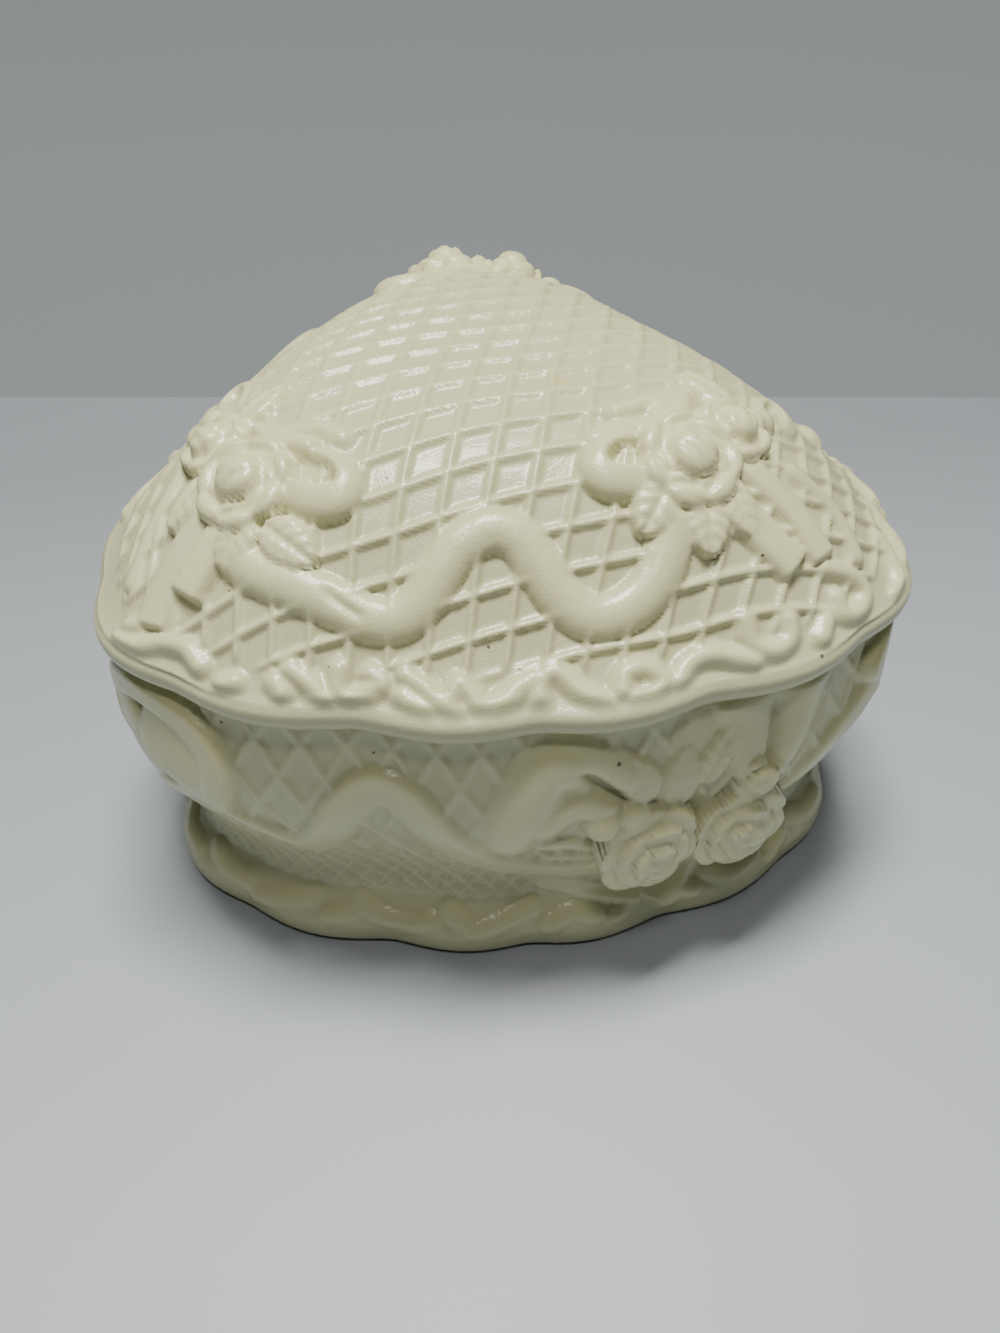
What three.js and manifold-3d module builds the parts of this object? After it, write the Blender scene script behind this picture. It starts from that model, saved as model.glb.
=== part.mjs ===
// A lidded trinket box in ivory-glazed ceramic: a three-cornered scalloped bowl on a flared
// foot, and a domed lid, both with ribbon swags, roses and leaves in relief.
// Millimetres, +Z up. The front faces -Y and one corner points to +Y.
import * as THREE from 'three';
import { mergeVertices } from 'three/addons/utils/BufferGeometryUtils.js';
import Module from 'manifold-3d';

const wasm = await Module();
wasm.setup();

// Plan outline, shared by the bowl and the lid
const cornerCount = 3;
const cornerSwell = 0.084; // how far the corners stand out, as a share of the radius
const cornerSharpness = 0.0156;
const lobesPerCorner = 5;
const scallopSoftnessShare = 0.3; // 0 gives sharp notches between the lobes
const scallopMeanShare = 0.65;

// Bowl
const footRadius = 57.8;
const footThickness = 3.4;
const footScallop = 1.7;
const footRingWidth = 8;
const undersideRecess = 1.6;
const waistRadius = 53;
const waistHeight = 11.5;
const bellyRadius = 59.4;
const bellyHeight = 35;
const bellyScallop = 0.8;
const mouthRadius = 57.2;
const seatHeight = 50.6;
const bowlWall = 3.4;
const bowlFloor = 4.6;

// Lid
const rimRadius = 60;
const rimThickness = 3.6;
const rimScallop = 2;
const rimBevel = 1.26;
const rimScallopPower = 7; // higher keeps the lobes nearer the rim
const domeHeight = 25;
const domeFullnessPower = 3.77; // higher keeps the crown flat for longer
const domeFlarePower = 1.64; // higher sweeps the skirt out more
const crownCornerShare = 0.16; // how three-cornered the dome is half way up
const slumpShare = 0.2; // how much flatter the dome is on its back right side
const slumpDirection = 28; // degrees, the middle of that side
const lidWall = 3.6;
const restGap = 0.3;
const lipDepth = 3;
const lipThickness = 2.4;
const lipClearance = 0.6;

// Carving
const carvingTurn = -8; // degrees from a corner to the middle of a rose cluster
const bowlCarvingTurn = -25; // degrees from the lid's roses to the middle of the bowl's
const swagWidth = 6;
const swagRelief = 2.1;
const swagDrops = [0.02, 0, 0.05]; // shares of the dome
const tailWidth = 6.4;
const tailRelief = 1.5;
const tailTaper = -0.3; // less than nothing widens a tail to its end
const ribbonShoulder = 0.85; // where a ribbon's rounded back starts to fall, as a share of half its width
const shoulderShare = 0.6; // how high the shoulder stands, as a share of the relief
const loopRadius = 4.6;
const loopWidth = 4.2;
const loopRelief = 3;
const bigRoseRadius = 5.8;
const bigRoseRelief = 4.2;
const smallRoseRadius = 4.2;
const smallRoseRelief = 3.2;
const bowlRoseRadius = 6.6;
const bowlRoseRelief = 3.6;
const leafLength = 12;
const leafWidth = 6.6;
const leafRelief = 1.9;
const leafFold = 0.55; // where a leaf's two halves stand highest, as a share of half its width
const midribShare = 0.6;
const petalCount = 4;
const petalDepth = 0.07; // how far the petals stand out, as a share of the rose
const rootDepth = 1.8; // how far each raised form runs into the wall

// Mesh fineness
const pointsPerLobe = 4;
const planSteps = cornerCount * lobesPerCorner * pointsPerLobe;
const cavitySteps = 24;
const roseSteps = 8;
const leafSteps = 4;
const loopSteps = 9;
const swagSteps = 18;
const tailSteps = 6;
const domeLevels = [0.97, 0.9, 0.82, 0.72, 0.58, 0.38]; // shares of the dome, rim to crown
const hollowLevels = [0.84, 0.74, 0.6, 0.4, 0.2];

const degree = Math.PI / 180;
const glaze = new THREE.MeshStandardMaterial({ color: 0xd9d8c2, roughness: 0.28, metalness: 0 });

// Distance from the axis to the outline, at an angle
function outline(angle, mean, scallop) {
  const turn = angle - Math.PI / 2;
  const swell = 1 + cornerSwell * Math.cos(cornerCount * turn)
    + cornerSharpness * Math.cos(2 * cornerCount * turn);
  const wave = Math.cos(cornerCount * lobesPerCorner * turn / 2);
  return mean * swell + scallop * (Math.hypot(wave, scallopSoftnessShare) - scallopMeanShare);
}

function polar(angle, radius, height) {
  return new THREE.Vector3(radius * Math.cos(angle), radius * Math.sin(angle), height);
}

function ring(steps, height, radiusAt) {
  const points = [];
  for (let i = 0; i < steps; i += 1) {
    const angle = 2 * Math.PI * i / steps;
    points.push(polar(angle, radiusAt(angle), height));
  }
  return points;
}

// A smooth step from one value to another
function ease(from, to, share) {
  const t = Math.min(Math.max(share, 0), 1);
  return from + (to - from) * (1 - Math.cos(Math.PI * t)) / 2;
}

// Mean radius of the bowl's outside, from the foot's top to the mouth
function bowlRadius(height) {
  if (height < waistHeight) {
    return ease(footRadius, waistRadius, (height - footThickness) / (waistHeight - footThickness));
  }
  if (height < bellyHeight) {
    return ease(waistRadius, bellyRadius, (height - waistHeight) / (bellyHeight - waistHeight));
  }
  return ease(bellyRadius, mouthRadius, (height - bellyHeight) / (seatHeight - bellyHeight));
}

// A point of the bowl's outside
function bowlPoint(angle, height) {
  const scallop = ease(footScallop, bellyScallop, height / waistHeight);
  return polar(angle, outline(angle, bowlRadius(height), scallop), height);
}

const undersideHeight = seatHeight + restGap;
const domeFoot = undersideHeight + rimThickness;

// How much a change to the dome's plan shows at a share of the dome: none at the crown or the rim
function partWay(share) {
  return share * (1 - share ** 3);
}

// A point of the lid's top, from the middle (share 0) out to the rim (share 1)
function lidPoint(angle, share) {
  const turn = angle - Math.PI / 2;
  const plan = outline(angle, rimRadius, 0) - rimRadius;
  const crown = rimRadius * crownCornerShare * Math.cos(cornerCount * turn) * partWay(share);
  const facing = Math.max(Math.cos(angle - slumpDirection * degree), 0) ** 3;
  const slump = rimRadius * slumpShare * facing * partWay(share);
  const scallop = outline(angle, 0, rimScallop) * share ** rimScallopPower;
  const radius = share * (rimRadius + plan * share ** 2 + crown - slump) + scallop;
  const rise = (1 - Math.min(share, 1) ** domeFullnessPower) ** domeFlarePower;
  return polar(angle, radius, domeFoot + domeHeight * rise);
}

// A closed skin through rings of points, with a fan over each end
function loft(rings) {
  const corners = [];
  const face = (a, b, c) => corners.push(...a, ...b, ...c);
  const middle = (points) => points
    .reduce((sum, point) => sum.add(point), new THREE.Vector3())
    .divideScalar(points.length);
  const first = rings[0];
  const last = rings[rings.length - 1];
  const firstMiddle = middle(first);
  const lastMiddle = middle(last);
  for (let i = 0; i < first.length; i += 1) {
    const next = (i + 1) % first.length;
    face(firstMiddle, first[next], first[i]);
    face(lastMiddle, last[i], last[next]);
    for (let level = 0; level + 1 < rings.length; level += 1) {
      const low = rings[level];
      const high = rings[level + 1];
      face(low[i], low[next], high[next]);
      face(low[i], high[next], high[i]);
    }
  }
  const geometry = new THREE.BufferGeometry();
  geometry.setAttribute('position', new THREE.Float32BufferAttribute(corners, 3));
  return solidOf(geometry);
}

// Six times the volume inside the triangles, less than nothing when they face inwards
function signedVolume(positions, triangles) {
  const a = new THREE.Vector3();
  const b = new THREE.Vector3();
  const c = new THREE.Vector3();
  let sum = 0;
  for (let i = 0; i < triangles.length; i += 3) {
    a.fromArray(positions, 3 * triangles[i]);
    b.fromArray(positions, 3 * triangles[i + 1]);
    c.fromArray(positions, 3 * triangles[i + 2]);
    sum += a.dot(b.cross(c));
  }
  return sum;
}

function solidOf(geometry) {
  const merged = mergeVertices(geometry, 1e-4);
  const vertProperties = Float32Array.from(merged.attributes.position.array);
  const triVerts = Uint32Array.from(merged.index.array);
  if (signedVolume(vertProperties, triVerts) < 0) triVerts.reverse();
  return new wasm.Manifold(new wasm.Mesh({ numProp: 3, vertProperties, triVerts }));
}

function meshOf(solid, name, material) {
  const { vertProperties, triVerts } = solid.getMesh();
  const geometry = new THREE.BufferGeometry();
  geometry.setAttribute('position', new THREE.BufferAttribute(vertProperties, 3));
  geometry.setIndex(new THREE.BufferAttribute(triVerts, 1));
  geometry.computeVertexNormals();
  const mesh = new THREE.Mesh(geometry, material);
  mesh.name = name;
  return mesh;
}

// Where a form sits on a surface: the point, the way out of the wall, and the two ways along it
function seat(surface, angle, place) {
  const step = 0.004;
  const point = surface(angle, place);
  const along = surface(angle + step, place).sub(surface(angle - step, place)).normalize();
  const scale = surface === bowlPoint ? bellyHeight : 1;
  const climb = surface(angle, place + step * scale).sub(surface(angle, place - step * scale));
  const out = new THREE.Vector3().crossVectors(along, climb).normalize();
  const heart = new THREE.Vector3(0, 0, Math.min(point.z, bellyHeight));
  if (out.dot(point.clone().sub(heart)) < 0) out.negate();
  const up = new THREE.Vector3().crossVectors(out, along).normalize();
  return { point, out, along, up };
}

// A raised ribbon with a rounded back, through places on a surface
function ribbon(surface, places, width, relief, steps, taper = 0) {
  const path = new THREE.CatmullRomCurve3(places.map(([a, b]) => new THREE.Vector3(a, b, 0)));
  const stations = path.getPoints(steps).map((p) => seat(surface, p.x * degree, p.y));
  const sections = stations.map((here, i) => {
    const before = stations[Math.max(i - 1, 0)].point;
    const after = stations[Math.min(i + 1, steps)].point;
    const ahead = after.clone().sub(before).normalize();
    const side = new THREE.Vector3().crossVectors(here.out, ahead).normalize();
    const half = width / 2 * (1 - taper * i / steps);
    const section = [[-1, -rootDepth], [-ribbonShoulder, relief * shoulderShare], [0, relief],
      [ribbonShoulder, relief * shoulderShare], [1, -rootDepth]];
    return section.map(([across, height]) => here.point.clone()
      .addScaledVector(side, across * half)
      .addScaledVector(here.out, height));
  });
  return loft(sections);
}

// A ribbon bent round into a loop that stands up from the surface
function loop(surface, angle, place, radius, width, relief) {
  const base = seat(surface, angle * degree, place);
  const sections = [];
  for (let i = 0; i < loopSteps; i += 1) {
    const turn = 2 * Math.PI * i / loopSteps;
    const spoke = base.along.clone().multiplyScalar(Math.cos(turn));
    spoke.addScaledVector(base.up, Math.sin(turn));
    const section = [[radius - width / 2, relief], [radius + width / 2, relief * shoulderShare],
      [radius + width / 2, -rootDepth], [radius - width / 2, -rootDepth]];
    sections.push(section.map(([reach, height]) => base.point.clone()
      .addScaledVector(spoke, reach)
      .addScaledVector(base.out, height)));
  }
  const corners = [];
  const face = (a, b, c) => corners.push(...a, ...b, ...c);
  sections.forEach((here, i) => {
    const there = sections[(i + 1) % loopSteps];
    here.forEach((corner, j) => {
      const next = (j + 1) % here.length;
      face(corner, here[next], there[next]);
      face(corner, there[next], there[j]);
    });
  });
  const geometry = new THREE.BufferGeometry();
  geometry.setAttribute('position', new THREE.Float32BufferAttribute(corners, 3));
  return solidOf(geometry);
}

// A full rose: an outer cup of petals, a groove, and a bud that turns in the middle
function rose(surface, angle, place, radius, relief) {
  const base = seat(surface, angle * degree, place);
  const levels = [[1, -rootDepth], [1, relief * 0.35], [0.78, relief * 0.76], [0.6, relief * 0.6],
    [0.45, relief]];
  const rings = levels.map(([reach, height], level) => {
    const points = [];
    for (let i = 0; i < roseSteps; i += 1) {
      const turn = 2 * Math.PI * (i + 0.5 * level) / roseSteps;
      const petal = 1 + petalDepth * Math.cos(petalCount * turn);
      points.push(base.point.clone()
        .addScaledVector(base.along, radius * reach * petal * Math.cos(turn))
        .addScaledVector(base.up, radius * reach * petal * Math.sin(turn))
        .addScaledVector(base.out, height));
    }
    return points;
  });
  return loft(rings);
}

// A pointed leaf with a sunk midrib, from its stem outwards along a heading
function leaf(surface, angle, place, heading, length, width, relief) {
  const base = seat(surface, angle * degree, place);
  const ahead = base.along.clone().multiplyScalar(Math.cos(heading * degree));
  ahead.addScaledVector(base.up, Math.sin(heading * degree));
  const side = new THREE.Vector3().crossVectors(base.out, ahead);
  const sections = [];
  for (let i = 0; i <= leafSteps; i += 1) {
    const share = i / leafSteps;
    const swell = Math.max(Math.sin(Math.PI * Math.min(share * 0.9 + 0.06, 1)) ** 0.8, 0.08);
    const half = width / 2 * swell;
    const height = relief * (0.5 + 0.5 * swell);
    const reach = length * (share - 0.5);
    const section = [[-1, -rootDepth], [-leafFold, height], [0, height * midribShare],
      [leafFold, height], [1, -rootDepth]];
    sections.push(section.map(([across, lift]) => base.point.clone()
      .addScaledVector(ahead, reach)
      .addScaledVector(side, across * half)
      .addScaledVector(base.out, lift)));
  }
  return loft(sections);
}

function joined(body, forms) {
  return forms.reduce((sum, form) => sum.add(form), body);
}

// Middles of the three rose clusters, whether each is turned to the left or the right, and how
// much lower than the front one the swag on its far side hangs
const clusters = [];
for (let i = 0; i < cornerCount; i += 1) {
  clusters.push({
    angle: 90 + carvingTurn + 360 * i / cornerCount,
    hand: i === 2 ? -1 : 1,
    swagDrop: swagDrops[i],
  });
}

// One cluster on the lid, in degrees from its middle and shares of the dome
function lidCluster({ angle, hand }) {
  const at = (offset) => angle + hand * offset;
  const heading = (value) => (hand > 0 ? value : 180 - value);
  return [
    loop(lidPoint, at(27), 0.61, loopRadius, loopWidth, loopRelief),
    loop(lidPoint, at(-27), 0.61, loopRadius, loopWidth, loopRelief),
    rose(lidPoint, at(13), 0.64, bigRoseRadius, bigRoseRelief),
    rose(lidPoint, at(-1), 0.63, smallRoseRadius, smallRoseRelief),
    leaf(lidPoint, at(26), 0.71, heading(-30), leafLength, leafWidth, leafRelief),
    leaf(lidPoint, at(18), 0.76, heading(-80), leafLength, leafWidth, leafRelief),
    leaf(lidPoint, at(5), 0.5, heading(70), leafLength * 1.1, leafWidth, leafRelief),
    ribbon(lidPoint, [[at(7), 0.68], [at(14), 0.76], [at(17), 0.84]], tailWidth, tailRelief,
      tailSteps / 2, tailTaper),
    ribbon(lidPoint, [[at(0), 0.68], [at(6), 0.79], [at(11), 0.89]], tailWidth, tailRelief,
      tailSteps / 2, tailTaper),
  ];
}

// The ribbon that hangs between two clusters on the lid: low, high, low
function lidSwag(angle, drop) {
  const half = [[33, 0.74], [26, 0.8], [19, 0.835], [13, 0.82], [8.5, 0.76], [4.5, 0.705]];
  const left = half.map(([offset, share]) => [angle - offset, share + drop]);
  const right = half.map(([offset, share]) => [angle + offset, share + drop]).reverse();
  const places = [...left, [angle, 0.69 + drop], ...right];
  return ribbon(lidPoint, places, swagWidth, swagRelief, swagSteps);
}

// The bowl's ribbon, in degrees from a pair of roses and shares of the belly's height
function bowlSwag(angle) {
  const places = [[82, 1.2], [72, 1.09], [65, 0.77], [60, 0.77], [54, 1.03], [48, 1.09], [41, 0.91],
    [33, 0.6], [22, 0.43], [12, 0.46]];
  return ribbon(bowlPoint, places.map(([offset, share]) => [angle - offset, share * bellyHeight]),
    swagWidth, swagRelief, swagSteps);
}

// One pair of roses on the bowl, with its leaves, its bud and the end of its ribbon
function bowlCluster(angle) {
  const at = (share) => share * bellyHeight;
  return [
    rose(bowlPoint, angle - 10, at(0.66), bowlRoseRadius, bowlRoseRelief),
    rose(bowlPoint, angle + 10, at(0.63), bowlRoseRadius, bowlRoseRelief),
    leaf(bowlPoint, angle - 12, at(1.11), 110, leafLength, leafWidth, leafRelief),
    leaf(bowlPoint, angle - 4, at(1.09), 80, leafLength, leafWidth, leafRelief),
    leaf(bowlPoint, angle + 2, at(1.11), 60, leafLength, leafWidth, leafRelief),
    ribbon(bowlPoint, [[angle + 6, at(0.94)], [angle + 12, at(1.14)], [angle + 17, at(0.97)],
      [angle + 23, at(1.14)]], tailWidth, tailRelief, tailSteps),
  ];
}

function makeBowl() {
  const ringInside = footRadius - footRingWidth;
  const edge = footThickness / 2;
  const rings = [
    ring(planSteps, undersideRecess, (angle) => outline(angle, ringInside - undersideRecess, 0)),
    ring(planSteps, 0, (angle) => outline(angle, ringInside, 0)),
    ring(planSteps, 0, (angle) => outline(angle, footRadius - edge, footScallop)),
    ring(planSteps, edge, (angle) => outline(angle, footRadius, footScallop)),
  ];
  const wallHeights = [
    footThickness,
    ease(footThickness, waistHeight, 0.5),
    waistHeight,
    ease(waistHeight, bellyHeight, 0.5),
    bellyHeight,
    seatHeight,
  ];
  wallHeights.forEach((height) => {
    rings.push(ring(planSteps, height, (angle) => Math.hypot(...bowlPoint(angle, height).setZ(0))));
  });
  const floorHeight = undersideRecess + bowlFloor;
  const inside = (height) => (angle) => outline(angle, bowlRadius(height) - bowlWall, 0);
  const cavity = [
    ring(cavitySteps, floorHeight, (angle) => inside(waistHeight)(angle) - 2 * bowlWall),
    ring(cavitySteps, floorHeight + bowlWall / 2, (angle) => inside(waistHeight)(angle) - bowlWall / 2),
    ring(cavitySteps, floorHeight + 2 * bowlWall, inside(waistHeight)),
    ring(cavitySteps, ease(waistHeight, bellyHeight, 0.5), inside(ease(waistHeight, bellyHeight, 0.5))),
    ring(cavitySteps, bellyHeight, inside(bellyHeight)),
    ring(cavitySteps, seatHeight, inside(seatHeight)),
    ring(cavitySteps, seatHeight + bowlWall, inside(seatHeight)),
  ];
  const forms = clusters.flatMap(({ angle }) => {
    const middle = angle + bowlCarvingTurn;
    return [bowlSwag(middle), ...bowlCluster(middle)];
  });
  return joined(loft(rings), forms).subtract(loft(cavity));
}

function makeLid() {
  const rim = (inset) => (angle) => outline(angle, rimRadius - inset, rimScallop);
  const rings = [
    ring(planSteps, undersideHeight, rim(rimBevel)),
    ring(planSteps, undersideHeight + rimBevel, rim(0)),
    ring(planSteps, domeFoot - rimBevel, rim(0)),
  ];
  domeLevels.forEach((share) => {
    const points = [];
    for (let i = 0; i < planSteps; i += 1) {
      points.push(lidPoint(2 * Math.PI * i / planSteps, share));
    }
    rings.push(points);
  });
  const lipOutside = mouthRadius - bowlWall - lipClearance;
  const lipInside = lipOutside - lipThickness;
  const lip = loft([
    ring(cavitySteps, undersideHeight - lipDepth, (angle) => outline(angle, lipOutside, 0)),
    ring(cavitySteps, undersideHeight + rimThickness / 2, (angle) => outline(angle, lipOutside, 0)),
  ]);
  const cavity = [
    ring(cavitySteps, undersideHeight - 2 * lipDepth, (angle) => outline(angle, lipInside, 0)),
    ring(cavitySteps, undersideHeight, (angle) => outline(angle, lipInside, 0)),
  ];
  hollowLevels.forEach((share) => {
    const points = [];
    for (let i = 0; i < cavitySteps; i += 1) {
      const here = seat(lidPoint, 2 * Math.PI * i / cavitySteps, share);
      points.push(here.point.addScaledVector(here.out, -lidWall));
    }
    cavity.push(points);
  });
  const forms = clusters.flatMap((cluster) => [
    lidSwag(cluster.angle + 180 / cornerCount, cluster.swagDrop),
    ...lidCluster(cluster),
  ]);
  return joined(loft(rings), [lip, ...forms]).subtract(loft(cavity));
}

const bowl = meshOf(makeBowl(), 'box_base', glaze);
const lid = meshOf(makeLid(), 'lid', glaze);

// The origin is the middle of the whole box on the surface that it stands on
const trinketBox = new THREE.Group();
trinketBox.add(bowl, lid);
const bounds = new THREE.Box3().setFromObject(trinketBox);
const centre = bounds.getCenter(new THREE.Vector3());
trinketBox.position.set(-centre.x, -centre.y, 0);
trinketBox.updateMatrixWorld(true);

export default trinketBox;
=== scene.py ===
import bpy
import math
import numpy as np
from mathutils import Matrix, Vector


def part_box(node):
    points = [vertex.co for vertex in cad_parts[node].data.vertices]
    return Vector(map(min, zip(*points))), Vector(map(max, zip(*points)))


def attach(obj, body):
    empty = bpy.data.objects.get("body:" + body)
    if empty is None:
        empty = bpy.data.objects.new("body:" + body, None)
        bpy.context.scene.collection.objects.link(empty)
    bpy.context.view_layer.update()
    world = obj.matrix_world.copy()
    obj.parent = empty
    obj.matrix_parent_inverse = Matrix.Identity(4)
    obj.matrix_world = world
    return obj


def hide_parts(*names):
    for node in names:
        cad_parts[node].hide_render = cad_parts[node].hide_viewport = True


# Ivory trinket box: a three-cornered bowl and its domed lid, both cast with trellis, ribbons and roses.
# Carving is worked out in millimetres round the middle of the plan, then moved to the frame in metres.

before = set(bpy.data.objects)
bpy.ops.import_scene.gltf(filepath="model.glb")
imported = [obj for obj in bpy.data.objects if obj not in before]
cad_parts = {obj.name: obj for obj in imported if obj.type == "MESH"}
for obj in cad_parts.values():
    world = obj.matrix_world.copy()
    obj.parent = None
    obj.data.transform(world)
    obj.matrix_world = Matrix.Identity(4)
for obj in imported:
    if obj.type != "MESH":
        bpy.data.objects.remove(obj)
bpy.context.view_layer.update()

# the box's own shape, in mm and in shares of the rim
plan = {
    "corners": 3,
    "swell": 0.084,      # how far the corners stand out
    "sharpness": 0.0156,
    "lobes": 5,          # scallops between two corners
    "softness": 0.3,
    "middle": 0.65,
}
bowlShape = {
    "foot": 57.8, "footTop": 3.4, "footScallop": 1.7, "ringWidth": 8.0, "recess": 1.6,
    "waist": 53.0, "waistHeight": 11.5,
    "belly": 59.4, "bellyHeight": 35.0, "bellyScallop": 0.8,
    "mouth": 57.2, "seat": 50.6, "wall": 3.4, "floor": 4.6,
    "cove": 6.5,         # how wide the floor's turn up into the wall is
}
lidShape = {
    "rim": 60.0, "rimThick": 3.6, "scallop": 2.0, "rise": 25.0, "fullness": 3.77, "flare": 1.64,
    "crown": 0.16, "slump": 0.2, "slumpAt": math.radians(28),
    "wall": 3.6, "gap": 0.3, "ledge": 2.5,
    "lipDepth": 3.0, "lipThick": 2.4, "lipPlay": 0.6, "lipBevel": 0.3,
}

# how the points of the meshes are spread: gaps in mm, and by how much they are wider at some places
frontAngle = math.radians(264)   # the side that the camera sees, where the points lie closest
crowding = 0.2
gapScale = 1.0
plainCount = 144 if gapScale == 1 else 72    # points round each ring of the plain inside
ringStep = 12                                # every carved ring has a multiple of these
lidMesh = {
    "gap": 0.415 * gapScale,
    "crown": 0.4, "crownGap": 1.25,          # up to this share of the dome
    "border": 0.93, "borderGap": 1.15,       # from this share on
    "last": 0.985, "settled": 0.97, "growth": 1.07, "snug": 0.98, "edgeGap": 1.5,
    "ceilingFrom": 0.84, "ceilingTo": 0.06, "ceilingRings": 26,
}
bowlMesh = {
    "gap": 0.455 * gapScale,
    "shade": 46.5, "shadeGap": 1.7,          # above this height, under the rim
    "foot": 6, "footGap": 1.25,              # below this height
    "edgeGap": 1.4, "coveSteps": 6, "wallRings": 16,
}


def outline(angle, mean, scallop):
    turn = angle - math.pi / 2
    swell = 1 + plan["swell"] * np.cos(plan["corners"] * turn)
    swell = swell + plan["sharpness"] * np.cos(2 * plan["corners"] * turn)
    wave = np.cos(plan["corners"] * plan["lobes"] * turn / 2)
    return mean * swell + scallop * (np.hypot(wave, plan["softness"]) - plan["middle"])


def ease(low, high, share):
    share = np.clip(share, 0, 1)
    return low + (high - low) * (1 - np.cos(math.pi * share)) / 2


def smooth(x, low, high):
    share = np.clip((x - low) / (high - low), 0, 1)
    return share * share * (3 - 2 * share)


def bowlRadius(height):
    s = bowlShape

    def between(low, high):
        return (height - s[low]) / (s[high] - s[low])

    lower = ease(s["foot"], s["waist"], between("footTop", "waistHeight"))
    middle = ease(s["waist"], s["belly"], between("waistHeight", "bellyHeight"))
    upper = ease(s["belly"], s["mouth"], between("bellyHeight", "seat"))
    return np.where(height < s["waistHeight"], lower, np.where(height < s["bellyHeight"], middle, upper))


def bowlPoint(angle, height):
    scallop = ease(bowlShape["footScallop"], bowlShape["bellyScallop"], height / bowlShape["waistHeight"])
    radius = outline(angle, bowlRadius(height), scallop)
    return np.stack([radius * np.cos(angle), radius * np.sin(angle), height + 0 * angle], -1)


lidUnder = bowlShape["seat"] + lidShape["gap"]
domeFoot = lidUnder + lidShape["rimThick"]


# the dome by its share of the way from the crown to the rim; its back right side has slumped
def lidPoint(angle, share):
    s = lidShape
    turn = angle - math.pi / 2
    spread = outline(angle, s["rim"], 0) - s["rim"]
    crown = s["rim"] * s["crown"] * np.cos(plan["corners"] * turn) * share * (1 - share ** 3)
    facing = np.clip(np.cos(angle - s["slumpAt"]), 0, 1) ** 3
    slump = s["rim"] * s["slump"] * facing * share * (1 - share ** 3)
    radius = share * (s["rim"] + spread * share ** 2 + crown - slump)
    radius = radius + outline(angle, 0, s["scallop"]) * share ** 7
    height = domeFoot + s["rise"] * (1 - np.clip(share, 0, 1) ** s["fullness"]) ** s["flare"]
    return np.stack([radius * np.cos(angle), radius * np.sin(angle), height + 0 * angle], -1)


def unit(vectors):
    return vectors / np.maximum(np.linalg.norm(vectors, axis=-1, keepdims=True), 1e-9)


# at a spot of a surface: the point, the way out, the way along to the right and the way up the wall
def surfaceFrame(surface, angle, place):
    angle = np.asarray(angle, float)
    place = np.asarray(place, float)
    turnStep = 0.003
    climbStep = 0.15 if surface is bowlPoint else 0.003
    point = surface(angle, place)
    along = unit(surface(angle + turnStep, place) - surface(angle - turnStep, place))
    climb = surface(angle, place + climbStep) - surface(angle, np.maximum(place - climbStep, 0))
    out = unit(np.cross(along, climb)) if surface is bowlPoint else unit(np.cross(climb, along))
    up = np.cross(out, along)
    return point, out, along, up


class Skin:
    # rings of points from one pole to the other; the carved ones remember where they lie on the surface
    def __init__(self):
        self.points, self.outs, self.angles, self.places, self.carved = [], [], [], [], []
        self.starts, self.counts = [], []
        self.total = 0

    def add(self, points, outs=None, angles=None, places=None):
        n = len(points)
        self.starts.append(self.total)
        self.counts.append(n)
        self.total += n
        self.points.append(points)
        self.outs.append(outs if outs is not None else np.zeros((n, 3)))
        self.angles.append(angles if angles is not None else np.zeros(n))
        self.places.append(places if places is not None else np.zeros(n))
        self.carved.append(np.full(n, outs is not None))

    def close(self):
        self.points = np.concatenate(self.points)
        self.outs = np.concatenate(self.outs)
        self.angles = np.concatenate(self.angles)
        self.places = np.concatenate(self.places)
        self.carved = np.concatenate(self.carved)

    def faces(self):
        made = []
        rings = list(zip(self.starts, self.counts))
        for (a, n), (b, m) in zip(rings, rings[1:]):
            if n == 1 or m == 1:
                pole, start, count = (a, b, m) if n == 1 else (b, a, n)
                for i in range(count):
                    j = (i + 1) % count
                    made.append((pole, start + i, start + j) if n == 1 else (start + j, start + i, pole))
            elif n == m:
                for i in range(n):
                    j = (i + 1) % n
                    made.append((a + i, b + i, b + j, a + j))
            else:
                i = j = 0
                while i < n or j < m:
                    if j >= m or (i < n and (i + 1) * m <= (j + 1) * n):
                        made.append((a + i, b + j % m, a + (i + 1) % n))
                        i += 1
                    else:
                        made.append((a + i % n, b + j, b + (j + 1) % m))
                        j += 1
        return made


def ringAngles(count):
    turn = np.arange(count) / count * 2 * math.pi
    return turn - crowding * np.sin(turn - frontAngle)


def ringCount(radius, gap):
    return max(ringStep, int(round(2 * math.pi * radius / gap / ringStep)) * ringStep)


# a level ring of the plan's shape
def levelRing(count, mean, height, scallop=0.0):
    angles = ringAngles(count)
    reach = outline(angles, mean, scallop)
    return np.stack([reach * np.cos(angles), reach * np.sin(angles), np.full(count, height)], -1)


# places between low and high, spaced along the surface by the gap wanted at each
def placesAlong(surface, low, high, gapAt):
    steps = 1500
    fine = np.linspace(low, high, steps)
    line = surface(np.full(steps, frontAngle), fine)
    lengths = np.linalg.norm(np.diff(line, axis=0), axis=1)
    weight = np.concatenate([[0], np.cumsum(lengths / np.array([gapAt(x) for x in fine[:-1]]))])
    count = max(2, int(round(weight[-1])))
    return np.interp(np.linspace(0, weight[-1], count + 1), weight, fine)


softJoin = 0.35      # mm over which two forms run together
below = -3.0         # mm; where a form doesn't reach, it counts as this far under the ground
fullness = {"round": 0.62, "soft": 1.1}      # how quickly a ribbon falls off to its sides


# the higher of two forms, rounded where they meet
def softMax(a, b, blend):
    h = np.clip(0.5 + 0.5 * (b - a) / blend, 0, 1)
    return a + (b - a) * h + blend * h * (1 - h)


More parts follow.
